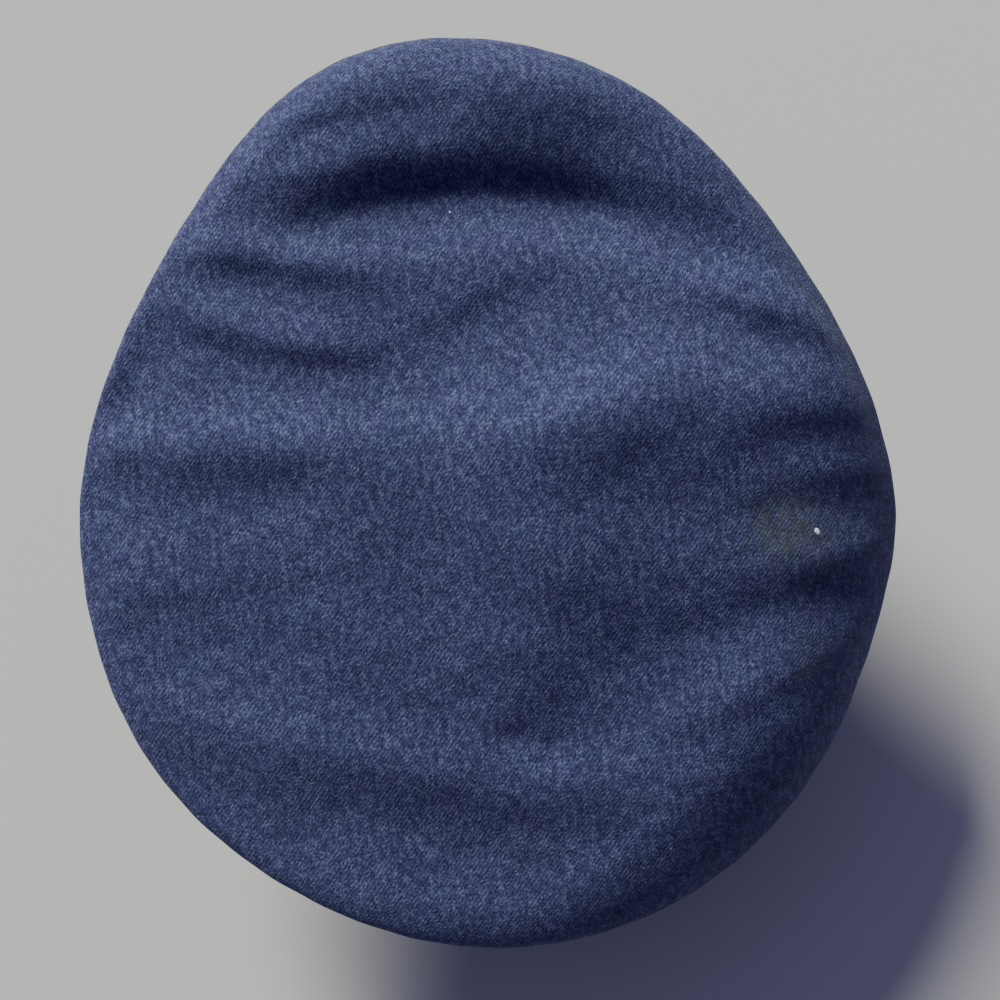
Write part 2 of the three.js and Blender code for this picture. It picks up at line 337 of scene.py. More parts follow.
def braid_material():
    """Dark blue mohair yarn: a fine fibrous grain and a soft sheen."""
    material, tree, shader = new_material(
        "band_braid", Roughness=0.62,
        Sheen_Weight=0.25, Sheen_Roughness=0.4, Sheen_Tint=BRAID_SHEEN,
    )
    place = object_place(tree)
    fibres = noise(tree, place, scale=2600, detail=1)
    patches = noise(tree, place, scale=60)
    shade = stretch(tree, calculate(tree, "ADD", fibres, patches), 0.7, 1.3)
    colour = blend_colours(tree, shade, BRAID_DARK, BRAID_LIGHT)
    tree.links.new(colour, shader.inputs["Base Color"])
    raise_surface(tree, shader, fibres, distance=0.0001, strength=0.5)
    return material


braid = braid_material()
band = build_wall(
    "band_core", band_point, strip_cut(BAND_LENGTH, BAND_HEIGHT), BAND_GRID, BAND_THICKNESS, [braid],
    ring=True, inner_rows=BAND_INNER_ROWS,
)
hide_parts("band")
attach(band, "root")

# The floats of the braid lie in columns that lean to one side and the other in turn.
column, row = np.mgrid[0:BRAID_COLUMNS, 0:BRAID_ROWS]
float_height = BAND_EDGE + (row + 0.5) * (BAND_HEIGHT - 2 * BAND_EDGE) / BRAID_ROWS
points, around, upward, outward = surface_frame(
    band_point, column.ravel() / BRAID_COLUMNS, float_height.ravel() / BAND_HEIGHT, BRAID_RECESS
)
lean = np.where(column.ravel() % 2, 1, -1)[:, None] * sin(BRAID_TILT)
float_ways = around * cos(BRAID_TILT) + upward * lean
braid_floats = lay_stitches("band_braid_floats", points, float_ways, outward, BRAID_FLOAT, braid)
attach(braid_floats, "root")

# Quarters
# The four side panels of the crown, in the same blue serge as its top. Each is sewn to the band
# below, to its neighbours at the seams, and to the top panel at the rim, with the seams turned in.
RIM_OVAL = {"half_width": 0.1285, "front": 0.1495, "back": 0.1325, "pinch": 0.082}
CLOTH_THICKNESS = 0.0016
SEAM_TUCK = 0.0009
SEAM_WIDTH = 0.0022
FOOT_INSET = BAND_THICKNESS / 4
FOOT_PULL = (0.25, 0.25, 0.45)
RIM_PULL = (0, 0, 0.33)
QUARTER_GRID = (90, 36)
QUARTER_TURN = pi / 2
QUARTER_AREAS = (0.0114, 0.0101, 0.0101, 0.0114)
CROWN_CENTRE = (0.0, 0.016, 0.089)
CROWN_SLOPE = radians(7.3)
SADDLE_HEIGHT = 0.006
ROLL_WIDTH = 0.013
ROLL_DEPTH = 0.005

# Where the top panel rolls over the rim more or less than that, by degrees round the rim: wide and
# deep at the front, hardly at all along the left, where the rim is lifted, and softest at the right of
# the back. A bulge goes past the oval.
ROLL_COLUMNS = ("name", "angle", "spread", "width", "depth", "bulge", "lift")
ROLLS = [
    ("front", 0, 34, 0.006, 0.007, 0.0019, 0),
    ("left side", 84, 52, -0.009, -0.0038, -0.0010, 0.0043),
    ("right side", -94, 24, 0.008, 0.006, 0.0004, 0),
    ("right of the back", -128, 44, 0.024, 0.009, 0.0022, 0),
    ("right corner", -95, 7, 0, 0, 0.0012, 0),
    ("right flat", -115, 9, 0, 0, -0.0008, 0),
]

# The rim is not quite an egg: long waves from its springy ring, and puckers from its seam. Each goes
# so many times round, and is turned by so many degrees.
RIM_WAVE_COLUMNS = ("count", "height", "turn")
RIM_WAVES = [
    (4, 0.0007, 15),
    (6, 0.0004, 12),
    (7, 0.0004, 12),
    (31, 0.00007, 3),
    (53, 0.00007, 1),
]

# Soft drag lines in a side panel: how often they come round, how far they slant, and how deep they
# are. The seam at the foot adds fine puckers, which reach up a share of the climb.
DRAG_COLUMNS = ("around", "slant", "turn", "depth")
DRAGS = [
    (9, 2.1, 0.7, 0.0005),
    (23, -3.0, 0.0, 0.0003),
]
FOOT_PUCKER = {"around": 71, "turn": 1.0, "depth": 0.0002, "reach": 0.25}

# The weave follows the flat cloth: a quarter's metres to a radian, and its height. The wave unit is
# the length after which Blender's wave texture repeats at scale 1.
QUARTER_ARC = 0.108
QUARTER_CLIMB = 0.062
TWILL_TURN = radians(39.5)
TWILL_PITCH = 0.00115
TWILL_CONTRAST = 0.185
WAVE_UNIT = 2 * pi / 20
SERGE_DARK = (0.0119, 0.0114, 0.0600)
SERGE_MID = (0.0492, 0.0485, 0.161)
SERGE_LIGHT = (0.138, 0.150, 0.302)
SERGE_SHEEN = (0.61, 0.68, 0.88, 1)
SERGE_TINTS = ((1.03, 0.98, 1.01), (0.97, 1.02, 0.99))
STAIN_COLOUR = (0.055, 0.060, 0.052)


def table_rows(columns, table):
    """The rows of a table, each by the names of its columns."""
    return [dict(zip(columns, row)) for row in table]


def roll_change(angle, column):
    """What the rolls together add to a width, depth, bulge or lift at an angle of the rim."""
    change = 0.0
    for roll in table_rows(ROLL_COLUMNS, ROLLS):
        turn = np.angle(np.exp(1j * (angle - radians(roll["angle"]))))
        change = change + roll[column] * np.exp(-((turn / radians(roll["spread"])) ** 2))
    return change


def rim_point(angle, grow=0.0):
    """A point of the rim's outline in plan."""
    grow = grow + roll_change(angle, "bulge")
    for wave in table_rows(RIM_WAVE_COLUMNS, RIM_WAVES):
        turn = radians(wave["turn"])
        grow = grow + wave["height"] * np.cos(wave["count"] * (angle - turn))
    return oval_point(RIM_OVAL, angle, grow)


def on_crown(x, back, height):
    """Takes points from the sloping plane of the crown to the worn cap."""
    y = CROWN_CENTRE[1] + back * cos(CROWN_SLOPE) + height * sin(CROWN_SLOPE)
    z = CROWN_CENTRE[2] - back * sin(CROWN_SLOPE) + height * cos(CROWN_SLOPE)
    return points_at(x, y, z)


def rim_height(angle):
    """The rim rises at the front and the back, and droops at the sides."""
    return SADDLE_HEIGHT * np.cos(2 * angle) + roll_change(angle, "lift")


def roll_depth(angle):
    """How far the top panel comes down over the rim."""
    return ROLL_DEPTH + roll_change(angle, "depth")


def quarter_point(angle, climb, depth):
    """A side panel climbs from the top of the band and turns upright where it meets the rim."""
    foot_x, foot_y = oval_point(BAND_OVAL, angle, -FOOT_INSET - depth)
    foot = points_at(foot_x, foot_y, BAND_HEIGHT)
    rim_x, rim_y = rim_point(angle, -depth)
    rim = on_crown(rim_x, rim_y, rim_height(angle) - roll_depth(angle))
    run = rim - foot
    lift = points_at(0, 0, depth)
    foot_handle = foot + run * FOOT_PULL + lift
    rim_handle = rim - run * RIM_PULL + lift
    share = np.asarray(climb)[..., None]
    left = 1 - share
    near_foot = left**2 * (left * foot + 3 * share * foot_handle)
    near_rim = share**2 * (3 * left * rim_handle + share * rim)
    return near_foot + near_rim


def quarter_sag(angle, climb):
    """Drag lines and puckers of the cloth between the band and the rim, as a depth."""
    pucker = np.sin(FOOT_PUCKER["around"] * angle + FOOT_PUCKER["turn"])
    sag = FOOT_PUCKER["depth"] * pucker * (1 - ease(climb, 0, FOOT_PUCKER["reach"]))
    for drag in table_rows(DRAG_COLUMNS, DRAGS):
        phase = drag["around"] * angle + drag["slant"] * climb + drag["turn"]
        sag = sag + drag["depth"] * np.sin(phase)
    return sag * np.sin(pi * np.clip(climb, 0, 1))


def mapped(tree, vector, scale=(1, 1, 1), turn=0.0):
    """Stretches a pattern, and turns it about the third axis."""
    inputs = {"Vector": vector, "Scale": scale, "Rotation": (0, 0, turn)}
    return add_node(tree, "ShaderNodeMapping", inputs).outputs[0]


def serge_material():
    """Heathered wool serge: broken diagonal floats of light and dark blue yarn, with a fuzzy sheen."""
    material, tree, shader = new_material(
        "blue_serge", Roughness=0.92, Specular_IOR_Level=0.25,
        Sheen_Weight=0.12, Sheen_Roughness=0.55, Sheen_Tint=SERGE_SHEEN,
    )
    flat = add_node(tree, "ShaderNodeUVMap", uv_map="flat").outputs[0]
    twill = mapped(tree, flat, turn=TWILL_TURN)
    along_floats = mapped(tree, twill, scale=(1, 0.7, 1))
    along_warp = mapped(tree, flat, scale=(1, 0.4, 1))
    along_weft = mapped(tree, flat, scale=(0.5, 1, 1))
    inputs = {
        "Vector": twill, "Scale": WAVE_UNIT / TWILL_PITCH,
        "Distortion": 1.9, "Detail": 2.0, "Detail Scale": 0.8,
    }
    lines = add_node(tree, "ShaderNodeTexWave", inputs).outputs["Fac"]
    floats = noise(tree, along_floats, scale=1450, detail=1)
    fibres = noise(tree, along_warp, scale=2500, roughness=0.7)
    weave = calculate(tree, "MULTIPLY", lines, TWILL_CONTRAST)
    weave = calculate(tree, "ADD", weave, stretch(tree, floats, 0.28, 0.72, 0.0, 0.57))
    weave = calculate(tree, "ADD", weave, stretch(tree, fibres, 0.3, 0.7, -0.19, 0.32))

    heather = noise(tree, flat, scale=190, detail=3, roughness=0.6)
    warp = noise(tree, along_warp, scale=560, detail=1)
    weft = noise(tree, along_weft, scale=560, detail=1)
    patches = noise(tree, flat, scale=26)
    tone = weave
    for layer, swing in ((heather, 0.052), (warp, 0.18), (weft, 0.11), (patches, 0.05)):
        tone = calculate(tree, "ADD", tone, stretch(tree, layer, 0.3, 0.7, -swing, swing))
    dark_to_mid = blend_colours(tree, stretch(tree, tone, 0.02, 0.52), SERGE_DARK, SERGE_MID)
    colour = blend_colours(tree, stretch(tree, tone, 0.50, 0.98), dark_to_mid, SERGE_LIGHT)
    tint = blend_colours(tree, stretch(tree, noise(tree, flat, scale=90), 0.35, 0.65), *SERGE_TINTS)
    inputs = {0: 1.0, 6: colour, 7: tint}
    tinted = add_node(tree, "ShaderNodeMix", inputs, data_type="RGBA", blend_type="MULTIPLY").outputs[2]
    stain = add_node(tree, "ShaderNodeAttribute", attribute_name="stain").outputs["Fac"]
    stain = calculate(tree, "MULTIPLY", stain, stretch(tree, noise(tree, flat, scale=300), 0.25, 0.6))
    stained = blend_colours(tree, stain, tinted, STAIN_COLOUR)
    tree.links.new(stained, shader.inputs["Base Color"])
    raise_surface(tree, shader, weave, distance=0.00022, strength=0.8)
    return material


def build_quarter(node, first_angle):
    """One side panel, from its first angle on, with its edges turned in at the seams."""

    def place(u, v, depth):
        angle = first_angle + u * QUARTER_TURN
        from_seam = np.minimum(u, 1 - u) * QUARTER_TURN * QUARTER_ARC
        from_rim = (1 - v) * QUARTER_CLIMB
        tuck = SEAM_TUCK * (1 - ease(np.minimum(from_seam, from_rim), 0, SEAM_WIDTH))
        return quarter_point(angle, v, quarter_sag(angle, v) + (tuck if depth == 0 else depth))

    def cut(u, v):
        return points_at((first_angle + u * QUARTER_TURN) * QUARTER_ARC, v * QUARTER_CLIMB)

    quarter = build_wall(node + "_cloth", place, cut, QUARTER_GRID, CLOTH_THICKNESS, [serge])
    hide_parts(node)
    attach(quarter, "root")


serge = serge_material()
quarter_names = ("quarter_front_left", "quarter_back_left", "quarter_back_right", "quarter_front_right")
for turn, (node, flat_area) in enumerate(zip(quarter_names, QUARTER_AREAS)):
    build_quarter(node, turn * QUARTER_TURN)

# Crown top
# The wide top panel of the crown: one egg-shaped piece of the same serge, pulled over a springy ring
# and rolled over it at the rim. Nothing fills it, so it sags and rumples in between.
CROWN_GRID = (400, 110)
CROWN_INNER_ROWS = 28
ROLL_SHARE = 0.15
ROLL_SLACK = 0.6
RIM_SEAM_SHARE = 0.014
FOLD_TAPER = 0.4
FOLD_FADE = 0.010
RUMPLE_SEED = 11
RUMPLE_WAVES = 40
RUMPLE_LENGTHS = (0.011, 0.040)
RUMPLE_SLOPE = 0.008

# Ridges and valleys on the plane of the crown: x to the wearer's left, y to the back. A bow above 0
# curves to the back, the widths are those of the slopes to the front and to the back, and a height
# below 0 is a valley.
FOLD_COLUMNS = ("name", "from", "to", "bow", "front width", "back width", "height")
FOLDS = [
    ("middle swell", (-0.159, 0.015), (0.160, -0.015), 0.000, 0.1025, 0.0995, 0.0092),
    ("front rise", (-0.054, -0.120), (0.014, -0.129), -0.008, 0.0185, 0.0205, 0.0034),
    ("front left shoulder", (-0.010, -0.133), (0.090, -0.098), -0.003, 0.0185, 0.0405, 0.0024),
    ("front valley", (-0.108, -0.060), (0.085, -0.082), -0.028, 0.0100, 0.0125, -0.0046),
    ("valley floor", (-0.071, -0.080), (0.064, -0.090), -0.018, 0.0060, 0.0045, -0.0012),
    ("shoulder ridge", (0.004, -0.118), (0.072, -0.108), 0.000, 0.0050, 0.0050, 0.0009),
    ("basin lip", (-0.128, -0.048), (0.073, -0.079), -0.014, 0.0080, 0.0190, 0.0011),
    ("front basin", (-0.112, -0.082), (0.059, -0.090), -0.011, 0.0935, 0.0340, -0.0032),
    ("upper left streak", (0.014, -0.075), (0.105, -0.099), 0.000, 0.0070, 0.0055, 0.0028),
    ("lower left streak", (0.013, -0.054), (0.110, -0.087), 0.008, 0.0080, 0.0055, 0.0027),
    ("left crease", (0.089, -0.035), (0.115, -0.065), 0.000, 0.0045, 0.0030, 0.0010),
    ("cross ridge, left", (0.015, -0.027), (0.173, -0.044), 0.004, 0.0105, 0.0120, 0.0040),
    ("cross ridge, middle", (-0.050, -0.023), (0.081, -0.024), 0.000, 0.0130, 0.0340, 0.0028),
    ("basin ridge", (-0.094, -0.056), (-0.003, -0.017), 0.000, 0.0110, 0.0155, 0.0020),
    ("left rise", (0.054, 0.019), (0.195, -0.011), 0.000, 0.0235, 0.0250, 0.0038),
    ("cross ridge, right", (-0.151, -0.036), (0.047, -0.021), -0.001, 0.0170, 0.0225, 0.0050),
    ("right shoulder", (-0.150, -0.024), (-0.066, -0.028), 0.000, 0.0125, 0.0075, 0.0022),
    ("right middle ridge", (-0.155, -0.006), (-0.080, -0.007), 0.000, 0.0075, 0.0060, 0.0013),
    ("upper right streak", (-0.145, -0.036), (-0.058, -0.073), 0.000, 0.0095, 0.0060, 0.0032),
    ("basin smear", (-0.042, -0.077), (0.023, -0.048), 0.000, 0.0080, 0.0125, -0.0013),
    ("centre ridge", (-0.025, -0.026), (0.001, 0.078), 0.000, 0.0340, 0.0205, 0.0038),
    ("centre step", (-0.146, 0.016), (0.019, 0.011), 0.000, 0.0500, 0.0280, 0.0044),
    ("right hollow", (-0.153, 0.007), (-0.063, 0.006), 0.000, 0.0060, 0.0250, -0.0011),
    ("right pucker", (-0.172, 0.011), (-0.071, 0.026), 0.002, 0.0095, 0.0070, 0.0016),
    ("right valley", (-0.218, 0.016), (-0.060, 0.038), 0.002, 0.0075, 0.0280, -0.0026),
    ("pucker tail", (-0.123, 0.035), (-0.018, 0.053), 0.000, 0.0125, 0.0220, -0.0016),
    ("lower right ridge", (-0.145, 0.032), (-0.032, 0.072), 0.002, 0.0155, 0.0075, 0.0024),
    ("right back ridge", (-0.136, 0.025), (0.001, 0.120), 0.007, 0.0375, 0.0185, 0.0040),
    ("centre dimple", (-0.025, 0.075), (0.008, 0.065), 0.000, 0.0055, 0.0095, -0.0014),
    ("back ridge", (-0.065, 0.090), (0.148, 0.024), 0.016, 0.0135, 0.0185, 0.0030),
    ("back valley", (-0.087, 0.114), (0.157, 0.053), 0.005, 0.0135, 0.0465, -0.0026),
    ("left line", (0.038, 0.018), (0.132, 0.017), 0.000, 0.0030, 0.0050, -0.0003),
    ("front line", (-0.007, -0.129), (0.069, -0.119), -0.002, 0.0035, 0.0045, -0.0007),
]


def fold_height(x, back):
    """The height that all the folds together add at a place on the plane of the crown."""
    height = np.zeros(np.broadcast(x, back).shape)
    for fold in table_rows(FOLD_COLUMNS, FOLDS):
        start = np.array(fold["from"])
        run = np.array(fold["to"]) - start
        length = np.hypot(*run)
        share = ((x - start[0]) * run[0] + (back - start[1]) * run[1]) / length**2
        across = ((back - start[1]) * run[0] - (x - start[0]) * run[1]) / length
        across = across - fold["bow"] * 4 * share * (1 - share)
        width = np.where(across < 0, fold["front width"], fold["back width"])
        taper = ease(share, 0, FOLD_TAPER) * ease(1 - share, 0, FOLD_TAPER)
        height += fold["height"] * taper * np.exp(-((across / width) ** 2))
    return height


def rumple_height(x, back):
    """Small random unevenness of the slack cloth: many shallow waves in all directions."""
    draw = np.random.default_rng(RUMPLE_SEED)
    height = np.zeros(np.broadcast(x, back).shape)
    for _ in range(RUMPLE_WAVES):
        way, phase = draw.uniform(0, 2 * pi, 2)
        turns = 2 * pi / draw.uniform(*RUMPLE_LENGTHS)
        along = x * cos(way) + back * sin(way)
        height += RUMPLE_SLOPE / turns * np.sin(turns * along + phase)
    return height


def crown_plan(u, v, depth):
    """How far in from the rim a point of the top panel lies, and its place in plan."""
    angle = u * 2 * pi
    rim_x, rim_y = rim_point(angle, -depth)
    rim_length = np.hypot(rim_x, rim_y)
    roll_width = ROLL_WIDTH + roll_change(angle, "width") - depth
    roll_turn = np.minimum(v / ROLL_SHARE, 1) * pi / 2
    panel_share = np.maximum(v - ROLL_SHARE, 0) / (1 - ROLL_SHARE)
    roll_inward = roll_width * (1 - np.cos(roll_turn))
    inward = roll_inward + (rim_length - roll_inward) * panel_share
    reach = 1 - inward / rim_length
    return angle, roll_turn, inward, reach, rim_x * reach, rim_y * reach


def crown_top_point(u, v, depth):
    """The top panel: v runs from the rim, over its roll, to the centre. Depth is into the cloth."""
    if depth == 0:
        depth = SEAM_TUCK * (1 - ease(v, 0, RIM_SEAM_SHARE))
    angle, roll_turn, inward, reach, x, back = crown_plan(u, v, depth)
    height = SADDLE_HEIGHT * np.cos(2 * angle) * reach**2 - depth
    height = height - (roll_depth(angle) - depth) * (1 - np.sin(roll_turn))
    lift = roll_change(angle, "lift")
    folds = fold_height(x, back) + rumple_height(x, back)
    return on_crown(x, back, height + lift + (folds - lift) * ease(inward, 0, FOLD_FADE))


def crown_top_cut(u, v):
    """Where a point of the top panel lies in the flat cloth."""
    angle, roll_turn, _, _, x, back = crown_plan(u, v, 0.0)
    fall = 1 + ROLL_SLACK * roll_depth(angle) * (1 - np.sin(roll_turn)) / RIM_OVAL["half_width"]
    return points_at(x * fall, back * fall)


crown_top = build_wall(
    "crown_top_cloth", crown_top_point, crown_top_cut, CROWN_GRID, CLOTH_THICKNESS, [serge],
    ring=True, inner_rows=CROWN_INNER_ROWS,
)

# Faint brown-green stains at the right of the panel, each a soft round patch.
STAIN_COLUMNS = ("x", "back", "radius", "strength")
STAINS = [
    (-0.0890, 0.0133, 0.010, 0.55),
    (-0.0994, 0.0122, 0.011, 0.35),
    (-0.096, 0.052, 0.007, 0.30),
]
crown_places = np.empty((len(crown_top.data.vertices), 3))
crown_top.data.vertices.foreach_get("co", crown_places.ravel())
stain_share = np.zeros(len(crown_places))
for stain in table_rows(STAIN_COLUMNS, STAINS):
    centre = stand(on_crown(stain["x"], stain["back"], 0.0))
    distance = np.hypot(*(crown_places - centre)[:, :2].T)
    stain_share += stain["strength"] * np.exp(-((distance / stain["radius"]) ** 2))
stain_layer = crown_top.data.attributes.new("stain", "FLOAT", "POINT")
stain_layer.data.foreach_set("value", np.minimum(stain_share, 1).astype(np.float32))
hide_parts("crown_top")
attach(crown_top, "root")

# Lint
# What clings to the wool of the top panel: one white chip, a small white fleck, a few grey specks of
# fluff, and a short end of grey thread that lies on the cloth towards the back.
LINT_COLUMNS = ("x", "back", "turn")
LINT_CHIP = {"Length": 0.0028, "Width": 0.0018, "Height": 0.0006}
LINT_CHIPS = [(-0.1018, 0.0128, radians(62))]
LINT_FLECK = {"Length": 0.0009, "Width": 0.0006, "Height": 0.0005}
LINT_FLECKS = [(0.0025, -0.0966, radians(85))]
FLUFF_SPECK = {"Length": 0.0008, "Width": 0.0004, "Height": 0.0003}
FLUFF_SPECKS = [
    (-0.1089, 0.0024, radians(10)),
    (0.0351, 0.0028, radians(85)),
    (0.1030, 0.0275, radians(60)),
    (-0.0475, 0.1058, radians(80)),
]
THREAD_END = {"Length": 0.0014, "Width": 0.00022, "Height": 0.00022}
THREAD_END_FROM = (0.0670, 0.0726)
THREAD_END_TO = (0.0603, 0.0757)
THREAD_END_WAVE = 0.0004
THREAD_END_STEPS = 8
THREAD_END_BENDS = 3
THREAD_END_SWING = 0.5
WHITE_LINT = ((0.60, 0.60, 0.82), (0.80, 0.80, 1.0))
GREY_FLUFF = ((0.17, 0.17, 0.30), (0.30, 0.30, 0.48))
GREY_THREAD = ((0.10, 0.10, 0.17), (0.19, 0.19, 0.29))
SEAT_COLUMNS = 1440
SEAT_ROWS = 480


def seat_on_crown(x, back):
    """Where on the top panel a place in plan lies, as u and v."""
    u = np.arange(SEAT_COLUMNS)[None, :] / SEAT_COLUMNS
    v = np.arange(1, SEAT_ROWS)[:, None] / SEAT_ROWS
    seat_x, seat_back = crown_plan(u, v, 0.0)[-2:]
    nearest = np.argmin((seat_x - x) ** 2 + (seat_back - back) ** 2)
    row, column = np.unravel_index(nearest, seat_x.shape)
    return u[0, column], v[row, 0]


def lay_lint(name, marks, sizes, material):
    """Lays lint on the top panel. A turn is counted from the wearer's right towards the back."""
    places, alongs, outwards = [], [], []
    for mark in table_rows(LINT_COLUMNS, marks):
        u, v = seat_on_crown(mark["x"], mark["back"])
        place, _, _, outward = surface_frame(crown_top_point, u, v, 0)
        way = on_crown(-cos(mark["turn"]), sin(mark["turn"]), 0) - on_crown(0, 0, 0)
        way = stand(way) - stand((0, 0, 0))
        places.append(place)
        alongs.append(way - outward * np.dot(way, outward))
        outwards.append(outward)
    lint = lay_stitches(name, places, alongs, outwards, sizes, material)
    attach(lint, "root")


def lint_material(name, dark, light):
    """Pale fluff, a little uneven in colour."""
    material, tree, shader = new_material(name, Roughness=0.9, Specular_IOR_Level=0.2)
    place = object_place(tree)
    shade = stretch(tree, noise(tree, place, scale=1500), 0.3, 0.7)
    colour = blend_colours(tree, shade, dark, light)
    tree.links.new(colour, shader.inputs["Base Color"])
    return material


white_lint = lint_material("white_lint", *WHITE_LINT)
grey_fluff = lint_material("grey_fluff", *GREY_FLUFF)
grey_thread = lint_material("grey_thread", *GREY_THREAD)
lay_lint("lint_chip", LINT_CHIPS, LINT_CHIP, white_lint)
lay_lint("lint_fleck", LINT_FLECKS, LINT_FLECK, white_lint)
lay_lint("fluff_specks", FLUFF_SPECKS, FLUFF_SPECK, grey_fluff)
thread_way = np.subtract(THREAD_END_TO, THREAD_END_FROM)
thread_turn = atan2(thread_way[1], -thread_way[0])
thread_marks = []
for share in np.linspace(0, 1, THREAD_END_STEPS):
    bend = THREAD_END_BENDS * pi * share
    x, back = np.add(THREAD_END_FROM, share * thread_way)
    wave = THREAD_END_WAVE * sin(bend)
    swing = THREAD_END_SWING * cos(bend)
    thread_marks.append((x, back + wave, thread_turn + swing))
lay_lint("thread_end", thread_marks, THREAD_END, grey_thread)

# Peak
# The stiff front peak: moulded black board with a glossy patent top, a rolled edge with a row of
# stitches behind it, and a matt underside. It is sewn under the front of the band.
PEAK_GRID = (150, 30)
PEAK_THICKNESS = 0.0022
PEAK_SPREAD = radians(66)
PEAK_REACH = 0.038
PEAK_CORNER_REACH = 0.002
PEAK_DROP = 0.031
PEAK_ROOT_HEIGHT = 0.0008
PEAK_BULGE = 0.002
PEAK_FLAT_SPREAD = radians(42)
PEAK_FULLNESS = 0.75
PEAK_ROLL = 0.0032
PEAK_ROLL_HEIGHT = 0.0006
PEAK_EDGE_ROUND = 0.0007
PEAK_LENGTH = 0.25
PEAK_STITCH = {"Length": 0.0026, "Width": 0.0006, "Height": 0.0005}
PEAK_STITCH_PITCH = 0.0034
PEAK_STITCH_SPREAD = 0.90 * PEAK_SPREAD
PEAK_STITCH_INSET = 0.0006
PEAK_STITCH_STEPS = 2001
PATENT_CLEAN = (0.006, 0.006, 0.008)
PATENT_DUSTY = (0.016, 0.016, 0.018)
UNDERSIDE_DARK = (0.008, 0.008, 0.009)
UNDERSIDE_LIGHT = (0.022, 0.022, 0.024)
BLACK_THREAD = ((0.004, 0.004, 0.005), (0.014, 0.014, 0.016))
FIT_GAP = 0.0003


def peak_reach(angle):
    """How far the peak reaches forward at an angle, and how full it is there, from 0 to 1."""
    fullness = np.maximum(np.cos(angle / PEAK_SPREAD * pi / 2), 0) ** PEAK_FULLNESS
    return PEAK_CORNER_REACH + (PEAK_REACH - PEAK_CORNER_REACH) * fullness, fullness


def peak_point(u, v, depth):
    """The peak: its outer skin is the underside, and v runs from the band to the front edge."""
    angle = PEAK_SPREAD * (2 * u - 1)
    reach, fullness = peak_reach(angle)
    x, y = oval_point(BAND_OVAL, angle, FIT_GAP + v * reach)
    edge_y = oval_point(BAND_OVAL, angle, FIT_GAP + reach)[1]
    floor_height = -(BAND_OVAL["back"] - edge_y) * tan(REST_TILT)
    corner_rise = ease(np.abs(angle), PEAK_FLAT_SPREAD, PEAK_SPREAD)
    edge_height = floor_height + (PEAK_ROOT_HEIGHT - floor_height) * corner_rise
    bulge = PEAK_BULGE * fullness * 4 * v * (1 - v)
    rise = depth * hypot(PEAK_REACH, PEAK_DROP) / PEAK_REACH
    from_edge = (1 - v) * reach
    roll = PEAK_ROLL_HEIGHT * np.sin(pi * np.clip(from_edge / PEAK_ROLL, 0, 1)) * fullness
    height = PEAK_ROOT_HEIGHT + (edge_height - PEAK_ROOT_HEIGHT) * v + bulge + rise
    return points_at(x, y, height + np.where(depth > 0, roll, 0))


def patent_material():
    """Black patent: a clear coat over a faint orange-peel surface, with hairline scuffs and dust."""
    material, tree, shader = new_material(
        "peak_patent", Roughness=0.16, Coat_Weight=0.7, Coat_Roughness=0.05, Specular_IOR_Level=0.5
    )
    place = object_place(tree)
    peel = noise(tree, place, scale=420, detail=1)
    along_scuffs = mapped(tree, place, scale=(30, 400, 30), turn=0.4)
    scuffs = noise(tree, along_scuffs, scale=4, detail=3)
    dust = noise(tree, place, scale=45, detail=4, roughness=0.65)
    colour = blend_colours(tree, stretch(tree, dust, 0.5, 0.8), PATENT_CLEAN, PATENT_DUSTY)
    tree.links.new(colour, shader.inputs["Base Color"])
    tree.links.new(stretch(tree, scuffs, 0.5, 0.75, 0.12, 0.30), shader.inputs["Roughness"])
    raise_surface(tree, shader, peel, distance=0.00005, strength=0.35)
    return material


def leather_material(name, dark, light, roughness, grain):
    """Finished leather: rounded grain with fine creases, and a little colour variation."""
    material, tree, shader = new_material(name, Specular_IOR_Level=0.45)
    place = object_place(tree)
    inputs = {"Vector": place, "Scale": grain}
    cells = add_node(tree, "ShaderNodeTexVoronoi", inputs, feature="SMOOTH_F1").outputs["Distance"]
    mottle = noise(tree, place, scale=140, detail=4, roughness=0.6)
    creases = calculate(tree, "MULTIPLY", cells, 0.4)
    shade = stretch(tree, calculate(tree, "ADD", mottle, creases), 0.5, 1.0)
    gloss = stretch(tree, mottle, 0.3, 0.7, roughness - 0.08, roughness + 0.1)
    tree.links.new(blend_colours(tree, shade, dark, light), shader.inputs["Base Color"])
    tree.links.new(gloss, shader.inputs["Roughness"])
    raise_surface(tree, shader, cells, distance=0.00018, strength=0.6)
    return material


def thread_material(name, dark, light):
    """Sewing thread, with a fine fibrous grain from dark to light."""
    material, tree, shader = new_material(name, Roughness=0.8, Specular_IOR_Level=0.2)
    place = object_place(tree)
    fibres = noise(tree, place, scale=3000, detail=1)
    colour = blend_colours(tree, stretch(tree, fibres, 0.3, 0.7), dark, light)
    tree.links.new(colour, shader.inputs["Base Color"])
    raise_surface(tree, shader, fibres, distance=0.0001, strength=0.6)
    return material


def soften_edges(piece, width):
    """Rounds the sharp edges of a piece."""
    bevel = piece.modifiers.new("edges", "BEVEL")
    bevel.width = width
    bevel.segments = 3
    bevel.limit_method = "ANGLE"
    bevel.angle_limit = CRISP_ANGLE
    apply_modifiers(piece)


underside = leather_material(
    "peak_underside", UNDERSIDE_DARK, UNDERSIDE_LIGHT, roughness=0.62, grain=1100
)
peak_cut = strip_cut(PEAK_LENGTH, PEAK_REACH)
peak = build_wall(
    "peak_board", peak_point, peak_cut, PEAK_GRID, PEAK_THICKNESS, [underside, patent_material()]
)
soften_edges(peak, PEAK_EDGE_ROUND)
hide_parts("peak")
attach(peak, "root")

